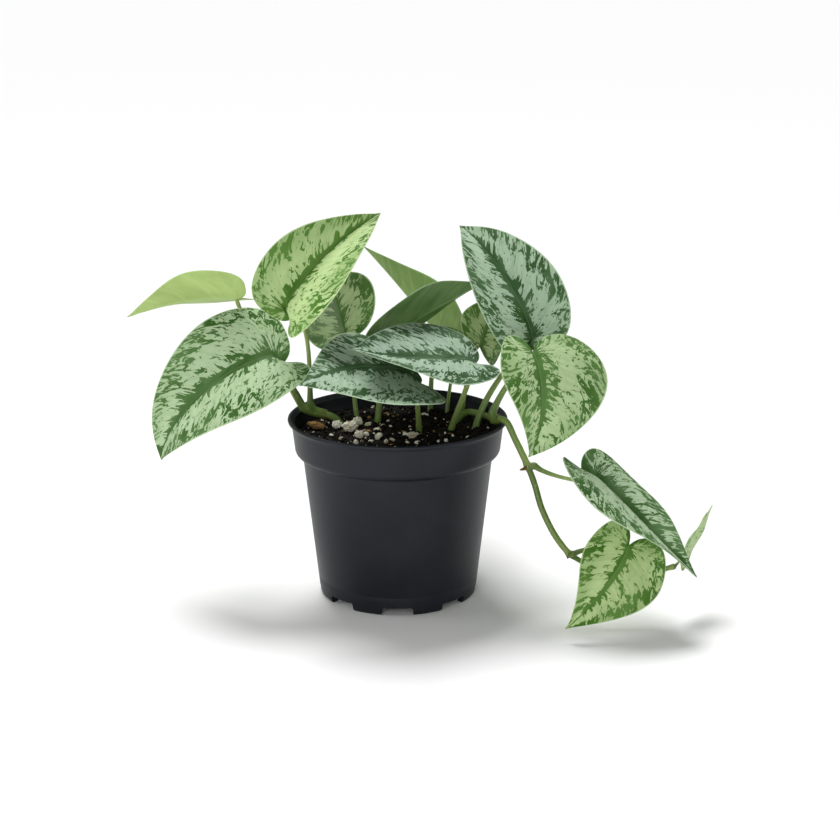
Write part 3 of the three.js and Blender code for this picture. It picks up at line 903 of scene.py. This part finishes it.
def pot_cutter(s, notches):
    """Rounded blocks that cut the gaps in the foot ring, and a peg for each drain hole."""
    base, under = s["base_radius"], s["floor_under"]
    cutter = bmesh.new()
    for i in range(notches):
        turn = Matrix.Rotation(i / notches * math.tau, 4, "Z")
        shift = Matrix.Translation((0, -base, 0))
        shape = Matrix.Diagonal((s["notch_width"], NOTCH_LENGTH, 2 * under, 1))
        made = bmesh.ops.create_cube(cutter, size=1.0, matrix=turn @ shift @ shape)["verts"]
        outwards = turn.to_3x3().col[1]
        long_edges = [
            e for e in {e for v in made for e in v.link_edges}
            if abs((e.verts[0].co - e.verts[1].co).normalized().dot(outwards)) > 0.99
            and e.verts[0].co.z > 0
        ]
        bmesh.ops.bevel(
            cutter, geom=long_edges, offset=NOTCH_ROUND, affect="EDGES", segments=4, profile=0.5,
            material=-1,
        )
        hole = Matrix.Translation((0, -HOLE_RING, under + s["wall"] / 2))
        bmesh.ops.create_cone(
            cutter, cap_ends=True, segments=24, radius1=HOLE_RADIUS, radius2=HOLE_RADIUS, depth=8.0,
            matrix=turn @ hole,
        )
    return cutter


def carved(bm, cutter):
    """What is left of one shape when another is cut out of it. Both are used up."""
    pair = []
    for name, source in (("pot_turned", bm), ("pot_cutter", cutter)):
        mesh = bpy.data.meshes.new(name)
        source.to_mesh(mesh)
        source.free()
        pair.append(bpy.data.objects.new(name, mesh))
        bpy.context.scene.collection.objects.link(pair[-1])
    blank, tool = pair
    cut = blank.modifiers.new("notches", "BOOLEAN")
    cut.operation, cut.object, cut.solver = "DIFFERENCE", tool, "EXACT"
    graph = bpy.context.evaluated_depsgraph_get()
    done = bpy.data.meshes.new_from_object(blank.evaluated_get(graph))
    left = bmesh.new()
    left.from_mesh(done)
    for spare in pair:
        mesh = spare.data
        bpy.data.objects.remove(spare)
        bpy.data.meshes.remove(mesh)
    bpy.data.meshes.remove(done)
    return left


def build_pot(settings):
    """Turns the pot's outline into a shell, and cuts the foot notches and drain holes."""
    sizes = {k: getattr(settings, k) / MM for k in (
        "rim_radius", "height", "collar_radius", "collar_low_radius", "collar_low",
        "body_radius", "body_top", "base_radius", "wall", "floor_under", "notch_width",
    )}
    bm = bmesh.new()
    points = [bm.verts.new((r, 0, z)) for r, z in pot_profile(sizes)]
    edges = [bm.edges.new(pair) for pair in zip(points, points[1:])]
    bmesh.ops.spin(
        bm, geom=points + edges, cent=(0, 0, 0), axis=(0, 0, 1), angle=math.tau, steps=TURN_STEPS,
        use_merge=True, use_duplicate=False,
    )
    bmesh.ops.remove_doubles(bm, verts=bm.verts, dist=0.0005)
    outward(bm)
    bm = carved(bm, pot_cutter(sizes, settings.notches))
    for face in bm.faces:
        face.material_index = 0
    outward(bm)
    return finished("pot_shell", bm, [plastic_look(settings)], "plastic", "pot", sharp=34.0)


# The soil's edge inside the pot, its narrower underside, and how far out stones and crumbs lie.
SOIL_RADIUS, SOIL_TAPER, SOIL_UNDER = 54.6, 0.93, 80.5
SOWN_RADIUS, DRESSED_RADIUS = 53.0, 54.2


def soil_height(x, y, settings):
    """The height of the soil's surface, in millimetres."""
    reach = min(1.0, math.hypot(x, y) / 55)
    level = settings.level / MM + settings.dome / MM * math.cos(reach * math.pi / 2) - 0.3
    relief = settings.relief / MM
    here = Vector((x, y, 3.0))
    coarse = noise.fractal(here * 0.11, 0.9, 2.1, 3)
    fine = noise.fractal(here * 0.55, 0.8, 2.2, 3)
    return level + relief * (0.55 * coarse + 0.42 * fine)


def build_soil(settings, look):
    """A round lumpy bed, made from a square grid."""
    bm = bmesh.new()
    bmesh.ops.create_grid(bm, x_segments=120, y_segments=120, size=1.0)
    for vertex in bm.verts:
        x, y = vertex.co.x, vertex.co.y
        vertex.co.x = SOIL_RADIUS * x * math.sqrt(1 - y * y / 2)
        vertex.co.y = SOIL_RADIUS * y * math.sqrt(1 - x * x / 2)
        vertex.co.z = soil_height(vertex.co.x, vertex.co.y, settings)
    grown = bmesh.ops.extrude_face_region(bm, geom=list(bm.faces), use_keep_orig=True)["geom"]
    for vertex in (g for g in grown if isinstance(g, bmesh.types.BMVert)):
        vertex.co.x *= SOIL_TAPER
        vertex.co.y *= SOIL_TAPER
        vertex.co.z = SOIL_UNDER
    outward(bm)
    return finished("soil_bed", bm, [look], "soil", "soil", sharp=80.0)


def scatter(bm, count, dice, settings, sizes, faces, squash, lean):
    """Sows small stones or crumbs on the soil. lean draws them towards the front left."""
    placed = 0
    while placed < count:
        radius = SOWN_RADIUS * math.sqrt(dice.random())
        angle = dice.uniform(0, math.tau)
        x, y = radius * math.cos(angle), radius * math.sin(angle)
        if dice.random() > 1 - lean * (0.5 + 0.5 * (x + y) / SOWN_RADIUS):
            continue
        placed += 1
        grain = sizes[0] + (sizes[1] - sizes[0]) * dice.random() ** 2.5
        if math.hypot(x, y) + grain > DRESSED_RADIUS:
            continue
        sow(bm, dice, (x, y), grain, faces, squash, settings)


def sow(bm, dice, spot, grain, faces, squash, settings):
    """Sets one stone or crumb of that radius half into the soil."""
    x, y = spot
    z = soil_height(x, y, settings) + grain * 0.35 * squash
    spin = Matrix.Rotation(dice.uniform(0, math.tau), 4, "Z")
    turn = spin @ Matrix.Rotation(dice.uniform(-0.6, 0.6), 4, "X")
    shape = Matrix.Diagonal((
        grain * dice.uniform(0.8, 1.2),
        grain * dice.uniform(0.7, 1.1),
        grain * squash * dice.uniform(0.7, 1.1),
        1,
    ))
    centre = Vector((x, y, z))
    made = bmesh.ops.create_icosphere(
        bm, subdivisions=faces, radius=1.0, matrix=Matrix.Translation(centre) @ turn @ shape,
    )["verts"]
    shift = Vector((dice.uniform(-99, 99), dice.uniform(-99, 99), 0))
    for vertex in made:
        bump = noise.noise((vertex.co + shift) * (0.9 / max(grain, 0.4)))
        vertex.co = centre + (vertex.co - centre) * (1 + 0.45 * bump)


# The white grains that show best: place on the soil and radius, in millimetres.
GRAINS = (
    (-17, 11, 1.7), (-11, -1, 2.2), (-4, 6, 1.2), (10, -9, 1.8), (15, 33, 1.9), (-17, -9, 1.6),
    (-10, -16, 2.0), (-3, -20, 1.5), (-6, -24, 1.5), (4, -7, 1.5), (5, -24, 1.2), (11, -24, 1.6),
    (26, -18, 1.3), (38, 7, 1.2), (38, -11, 1.0), (30, -9, 0.9), (21, 25, 0.9), (-14, -22, 1.3),
    (-30, -16, 1.6), (-36, -8, 1.4), (-8, 8, 1.1), (-22, -24, 1.5), (-12, -33, 1.3), (2, -36, 1.2),
)
# The bark chip's half sizes in millimetres and its heading in degrees.
CHIP_HALF = (7.0, 2.5, 1.9)
CHIP_HEADING = -36


def build_lump(node, look, slot, rough):
    """A refined stone or chip in the place of a frame node."""
    low, high = box_mm(node)
    centre, half = (low + high) / 2, (high - low) / 2
    bm = bmesh.new()
    bmesh.ops.create_icosphere(bm, subdivisions=5, radius=1.0)
    for vertex in bm.verts:
        point = vertex.co.copy()
        broad = noise.fractal(point * 1.6 + centre, 0.9, 2.0, 2)
        fine = noise.fractal(point * 5.5 + centre, 0.9, 2.0, 3)
        popped = noise.turbulence(point * 3.2 + centre, 3, False)
        point *= 0.86 + rough * broad + rough * 0.5 * fine + rough * popped
        if slot == "bark":
            point = Vector(a * b for a, b in zip(point, CHIP_HALF))
            point.z += 0.25 * math.sin(point.y * 5)
            point = Matrix.Rotation(math.radians(CHIP_HEADING), 3, "Z") @ point
        else:
            point = Vector(a * b for a, b in zip(point, half))
        vertex.co = centre + point
    outward(bm)
    return finished(node + "_lump", bm, [look], slot, node, sharp=70.0)


# ------------------------------------------------------------------ stage

# The stage's sizes and places are in metres.
FLOOR_HALF = 30.0
WORLD_LIGHT, WORLD_SEEN = 0.27, 1.1
LAMP_AIM = Vector((0.01, 0, 0.09))
LAMPS = (
    (("SUN", "top", (-0.25, 0.62, 1.5), 2.9), dict(angle=math.radians(26))),
    (("AREA", "front", (-0.35, -1.5, 0.5), 8.5), dict(shape="DISK", size=0.9)),
    (("AREA", "left", (-1.3, 0.0, 0.5), 4.0), dict(shape="DISK", size=0.7)),
    (("AREA", "right", (1.3, -0.1, 0.5), 2.5), dict(shape="DISK", size=0.7)),
)
CAMERA_AT = (0.0122, -0.9617, 0.3715)
CAMERA_PITCH = 15.9
CAMERA_SENSOR, CAMERA_LENS = 36.0, 78.43


def lay_floor(scene):
    bm = bmesh.new()
    bmesh.ops.create_grid(bm, x_segments=1, y_segments=1, size=FLOOR_HALF)
    mesh = bpy.data.meshes.new("floor")
    bm.to_mesh(mesh)
    bm.free()
    floor = bpy.data.objects.new("floor", mesh)
    scene.collection.objects.link(floor)
    paper = Look("paper", Specular_IOR_Level=0.2, Roughness=0.9, Base_Color=(0.9, 0.9, 0.9, 1))
    mesh.materials.append(paper.material)


def light_world(scene):
    """An even world, dim as a light and white where the camera sees it."""
    world = bpy.data.worlds.new("studio")
    world.use_nodes = True
    tree = world.node_tree
    glow = tree.nodes["Background"]
    glow.inputs["Color"].default_value = (1, 1, 1, 1)
    seen = tree.nodes.new("ShaderNodeLightPath")
    strength = tree.nodes.new("ShaderNodeMapRange")
    strength.inputs["To Min"].default_value = WORLD_LIGHT
    strength.inputs["To Max"].default_value = WORLD_SEEN
    tree.links.new(seen.outputs["Is Camera Ray"], strength.inputs["Value"])
    tree.links.new(strength.outputs["Result"], glow.inputs["Strength"])
    scene.world = world
    scene.view_settings.view_transform = "Standard"


def add_lamp(scene, kind, name, place, power, **fitting):
    data = bpy.data.lights.new(name, kind)
    data.energy = power
    for key, value in fitting.items():
        setattr(data, key, value)
    light = bpy.data.objects.new(name, data)
    light.location = place
    light.rotation_euler = (LAMP_AIM - Vector(place)).to_track_quat("-Z", "Y").to_euler()
    scene.collection.objects.link(light)


def add_camera(scene):
    lens = bpy.data.cameras.new("camera")
    lens.sensor_width, lens.lens = CAMERA_SENSOR, CAMERA_LENS
    lens.clip_start, lens.clip_end = 0.05, 100.0
    camera = bpy.data.objects.new("camera", lens)
    camera.location = CAMERA_AT
    camera.rotation_euler = (math.radians(90 - CAMERA_PITCH), 0, 0)
    scene.collection.objects.link(camera)
    scene.camera = camera


# ------------------------------------------------------------------ operators


class PLANT_OT_pot(bpy.types.Operator):
    """Turns the pot and cuts its foot ring"""

    bl_idname = "plant.pot"
    bl_label = "Pot"

    def execute(self, context):
        build_pot(context.scene.plant_pot)
        return {"FINISHED"}


class PLANT_OT_soil(bpy.types.Operator):
    """Fills the pot with soil, loose crumbs, white grains and bark"""

    bl_idname = "plant.soil"
    bl_label = "Soil"

    def execute(self, context):
        settings = context.scene.plant_soil
        peat, mineral, bark = peat_look(settings), mineral_look(settings), bark_look(settings)
        build_soil(settings, peat)
        dice = random.Random(11)
        crumbs = bmesh.new()
        scatter(crumbs, settings.crumbs, dice, settings, (0.35, 1.7), 1, 0.8, 0.0)
        finished("soil_crumbs", crumbs, [peat], "soil", sharp=30.0)
        grains = bmesh.new()
        scatter(grains, settings.grains, dice, settings, (0.3, 1.05), 2, 0.8, 0.8)
        for x, y, grain in GRAINS:
            sow(grains, dice, (x, y), grain, 3, 0.85, settings)
        finished("soil_grains", grains, [mineral], "perlite", sharp=60.0)
        flecks = bmesh.new()
        scatter(flecks, 34, dice, settings, (0.4, 1.8), 1, 0.4, 0.2)
        finished("soil_flecks", flecks, [bark], "bark", sharp=30.0)
        for i in range(1, 6):
            build_lump(f"perlite_lump_{i}", mineral, "perlite", 0.22)
        build_lump("bark_chip", bark, "bark", 0.16)
        return {"FINISHED"}


class PLANT_OT_leaves(bpy.types.Operator):
    """Shapes every blade"""

    bl_idname = "plant.leaves"
    bl_label = "Leaves"

    def execute(self, context):
        for name, leaf in LEAVES.items():
            build_leaf(name, leaf, context.scene.plant_leaf)
        return {"FINISHED"}


class PLANT_OT_petioles(bpy.types.Operator):
    """Grows a petiole up to every blade"""

    bl_idname = "plant.petioles"
    bl_label = "Petioles"

    def execute(self, context):
        settings = context.scene.plant_stem
        look = stem_look(settings)
        for name, leaf in LEAVES.items():
            build_petiole(name, leaf, settings, look)
        return {"FINISHED"}


class PLANT_OT_stems(bpy.types.Operator):
    """Lays the crown stem and the trailing vine, with the root nubs on its nodes"""

    bl_idname = "plant.stems"
    bl_label = "Stems"

    def execute(self, context):
        settings = context.scene.plant_stem
        look, husk = stem_look(settings), husk_look(settings)
        for name, (radius, stops) in STEMS.items():
            build_stem(name, radius, stops, settings, look)
        for name, (foot, end) in NUBS.items():
            build_nub(name, foot, end, husk)
        return {"FINISHED"}


class PLANT_OT_stage(bpy.types.Operator):
    """Sets the floor, the soft lights and the camera"""

    bl_idname = "plant.stage"
    bl_label = "Stage"

    def execute(self, context):
        scene = context.scene
        lay_floor(scene)
        light_world(scene)
        for lamp, fitting in LAMPS:
            add_lamp(scene, *lamp, **fitting)
        add_camera(scene)
        return {"FINISHED"}


class PLANT_PT_panel(bpy.types.Panel):
    """The plant's settings and build steps"""

    bl_idname = "PLANT_PT_panel"
    bl_label = "Potted Scindapsus"
    bl_space_type = "VIEW_3D"
    bl_region_type = "UI"
    bl_category = "Plant"

    def draw(self, context):
        layout = self.layout
        for operator in OPERATORS:
            layout.operator(operator.bl_idname)
        for group in ("plant_pot", "plant_soil", "plant_leaf", "plant_stem"):
            settings = getattr(context.scene, group)
            box = layout.box()
            for field in settings.bl_rna.properties:
                if not field.is_readonly and field.identifier != "name":
                    box.prop(settings, field.identifier)


SETTINGS = {
    "plant_pot": PotSettings,
    "plant_soil": SoilSettings,
    "plant_leaf": LeafSettings,
    "plant_stem": StemSettings,
}
OPERATORS = (
    PLANT_OT_stage, PLANT_OT_pot, PLANT_OT_soil, PLANT_OT_stems, PLANT_OT_petioles, PLANT_OT_leaves,
)
CLASSES = (*SETTINGS.values(), *OPERATORS, PLANT_PT_panel)


def register():
    for each in CLASSES:
        bpy.utils.register_class(each)
    for name, group in SETTINGS.items():
        setattr(bpy.types.Scene, name, PointerProperty(type=group))


def unregister():
    for name in SETTINGS:
        delattr(bpy.types.Scene, name)
    for each in reversed(CLASSES):
        bpy.utils.unregister_class(each)


def main():
    register()
    bpy.ops.plant.stage()
    bpy.ops.plant.pot()
    bpy.ops.plant.soil()
    bpy.ops.plant.stems()
    bpy.ops.plant.petioles()
    bpy.ops.plant.leaves()


if __name__ == "__main__":
    main()
